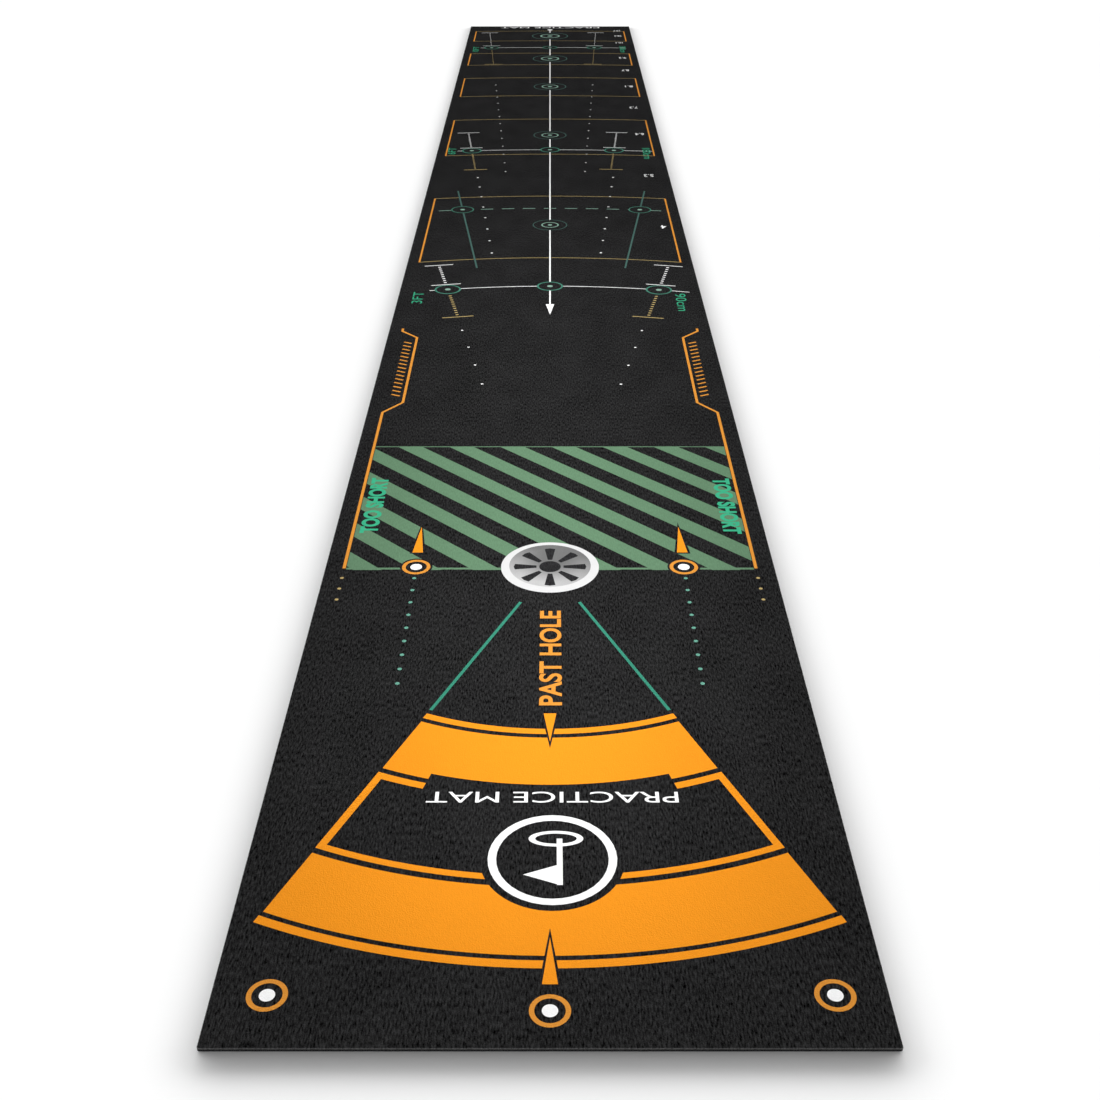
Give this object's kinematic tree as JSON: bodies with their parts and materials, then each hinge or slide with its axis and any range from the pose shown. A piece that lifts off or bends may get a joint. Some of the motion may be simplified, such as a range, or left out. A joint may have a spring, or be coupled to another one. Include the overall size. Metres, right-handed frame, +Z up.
{
  "type": "practice putting mat",
  "caption": "Long, narrow floor mat of printed short-pile carpet on a thin rubber backing, for practising golf putts; it lies flat and rolls up lengthwise.",
  "frame": {"origin": "centre of the underside of the mat, on the floor, when the mat lies flat", "axes": "+Y along the mat from the near end, where the roll ends up, to the far end, where the player stands; +X to the right when looking along +Y; +Z up, out of the printed face"},
  "size_m": [0.5, 4, 0.003],
  "materials": {
    "pile": "matte",
    "rubber_backing": "matte"
  },
  "bodies": {
    "section_01": {"pile_section_01": "pile", "rubber_section_01": "rubber_backing"},
    "section_02": {"pile_section_02": "pile", "rubber_section_02": "rubber_backing"},
    "section_03": {"pile_section_03": "pile", "rubber_section_03": "rubber_backing"},
    "section_04": {"pile_section_04": "pile", "rubber_section_04": "rubber_backing"},
    "section_05": {"pile_section_05": "pile", "rubber_section_05": "rubber_backing"},
    "section_06": {"pile_section_06": "pile", "rubber_section_06": "rubber_backing"},
    "section_07": {"pile_section_07": "pile", "rubber_section_07": "rubber_backing"},
    "section_08": {"pile_section_08": "pile", "rubber_section_08": "rubber_backing"},
    "section_09": {"pile_section_09": "pile", "rubber_section_09": "rubber_backing"},
    "section_10": {"pile_section_10": "pile", "rubber_section_10": "rubber_backing"},
    "section_11": {"pile_section_11": "pile", "rubber_section_11": "rubber_backing"},
    "section_12": {"pile_section_12": "pile", "rubber_section_12": "rubber_backing"},
    "section_13": {"pile_section_13": "pile", "rubber_section_13": "rubber_backing"},
    "section_14": {"pile_section_14": "pile", "rubber_section_14": "rubber_backing"},
    "section_15": {"pile_section_15": "pile", "rubber_section_15": "rubber_backing"},
    "section_16": {"pile_section_16": "pile", "rubber_section_16": "rubber_backing"},
    "section_17": {"pile_section_17": "pile", "rubber_section_17": "rubber_backing"},
    "section_18": {"pile_section_18": "pile", "rubber_section_18": "rubber_backing"},
    "section_19": {"pile_section_19": "pile", "rubber_section_19": "rubber_backing"},
    "section_20": {"pile_section_20": "pile", "rubber_section_20": "rubber_backing"},
    "section_21": {"pile_section_21": "pile", "rubber_section_21": "rubber_backing"},
    "section_22": {"pile_section_22": "pile", "rubber_section_22": "rubber_backing"},
    "section_23": {"pile_section_23": "pile", "rubber_section_23": "rubber_backing"},
    "section_24": {"pile_section_24": "pile", "rubber_section_24": "rubber_backing"},
    "section_25": {"pile_section_25": "pile", "rubber_section_25": "rubber_backing"}
  },
  "joints": [
    {"name": "roll_01", "type": "hinge", "parent": "section_01", "child": "section_02", "pos_m": [0, -1.828, 0.003], "axis": [1, 0, 0], "range_deg": [0, 60]},
    {"name": "roll_02", "type": "hinge", "parent": "section_02", "child": "section_03", "pos_m": [0, -1.657, 0.003], "axis": [1, 0, 0], "range_deg": [0, 60]},
    {"name": "roll_03", "type": "hinge", "parent": "section_03", "child": "section_04", "pos_m": [0, -1.487, 0.003], "axis": [1, 0, 0], "range_deg": [0, 60]},
    {"name": "roll_04", "type": "hinge", "parent": "section_04", "child": "section_05", "pos_m": [0, -1.318, 0.003], "axis": [1, 0, 0], "range_deg": [0, 60]},
    {"name": "roll_05", "type": "hinge", "parent": "section_05", "child": "section_06", "pos_m": [0, -1.15, 0.003], "axis": [1, 0, 0], "range_deg": [0, 60]},
    {"name": "roll_06", "type": "hinge", "parent": "section_06", "child": "section_07", "pos_m": [0, -0.983, 0.003], "axis": [1, 0, 0], "range_deg": [0, 60]},
    {"name": "roll_07", "type": "hinge", "parent": "section_07", "child": "section_08", "pos_m": [0, -0.817, 0.003], "axis": [1, 0, 0], "range_deg": [0, 60]},
    {"name": "roll_08", "type": "hinge", "parent": "section_08", "child": "section_09", "pos_m": [0, -0.652, 0.003], "axis": [1, 0, 0], "range_deg": [0, 60]},
    {"name": "roll_09", "type": "hinge", "parent": "section_09", "child": "section_10", "pos_m": [0, -0.488, 0.003], "axis": [1, 0, 0], "range_deg": [0, 60]},
    {"name": "roll_10", "type": "hinge", "parent": "section_10", "child": "section_11", "pos_m": [0, -0.325, 0.003], "axis": [1, 0, 0], "range_deg": [0, 60]},
    {"name": "roll_11", "type": "hinge", "parent": "section_11", "child": "section_12", "pos_m": [0, -0.163, 0.003], "axis": [1, 0, 0], "range_deg": [0, 60]},
    {"name": "roll_12", "type": "hinge", "parent": "section_12", "child": "section_13", "pos_m": [0, -0.002, 0.003], "axis": [1, 0, 0], "range_deg": [0, 60]},
    {"name": "roll_13", "type": "hinge", "parent": "section_13", "child": "section_14", "pos_m": [0, 0.158, 0.003], "axis": [1, 0, 0], "range_deg": [0, 60]},
    {"name": "roll_14", "type": "hinge", "parent": "section_14", "child": "section_15", "pos_m": [0, 0.317, 0.003], "axis": [1, 0, 0], "range_deg": [0, 60]},
    {"name": "roll_15", "type": "hinge", "parent": "section_15", "child": "section_16", "pos_m": [0, 0.475, 0.003], "axis": [1, 0, 0], "range_deg": [0, 60]},
    {"name": "roll_16", "type": "hinge", "parent": "section_16", "child": "section_17", "pos_m": [0, 0.632, 0.003], "axis": [1, 0, 0], "range_deg": [0, 60]},
    {"name": "roll_17", "type": "hinge", "parent": "section_17", "child": "section_18", "pos_m": [0, 0.788, 0.003], "axis": [1, 0, 0], "range_deg": [0, 60]},
    {"name": "roll_18", "type": "hinge", "parent": "section_18", "child": "section_19", "pos_m": [0, 0.943, 0.003], "axis": [1, 0, 0], "range_deg": [0, 60]},
    {"name": "roll_19", "type": "hinge", "parent": "section_19", "child": "section_20", "pos_m": [0, 1.097, 0.003], "axis": [1, 0, 0], "range_deg": [0, 60]},
    {"name": "roll_20", "type": "hinge", "parent": "section_20", "child": "section_21", "pos_m": [0, 1.25, 0.003], "axis": [1, 0, 0], "range_deg": [0, 60]},
    {"name": "roll_21", "type": "hinge", "parent": "section_21", "child": "section_22", "pos_m": [0, 1.402, 0.003], "axis": [1, 0, 0], "range_deg": [0, 60]},
    {"name": "roll_22", "type": "hinge", "parent": "section_22", "child": "section_23", "pos_m": [0, 1.553, 0.003], "axis": [1, 0, 0], "range_deg": [0, 60]},
    {"name": "roll_23", "type": "hinge", "parent": "section_23", "child": "section_24", "pos_m": [0, 1.703, 0.003], "axis": [1, 0, 0], "range_deg": [0, 60]},
    {"name": "roll_24", "type": "hinge", "parent": "section_24", "child": "section_25", "pos_m": [0, 1.852, 0.003], "axis": [1, 0, 0], "range_deg": [0, 60]}
  ]
}
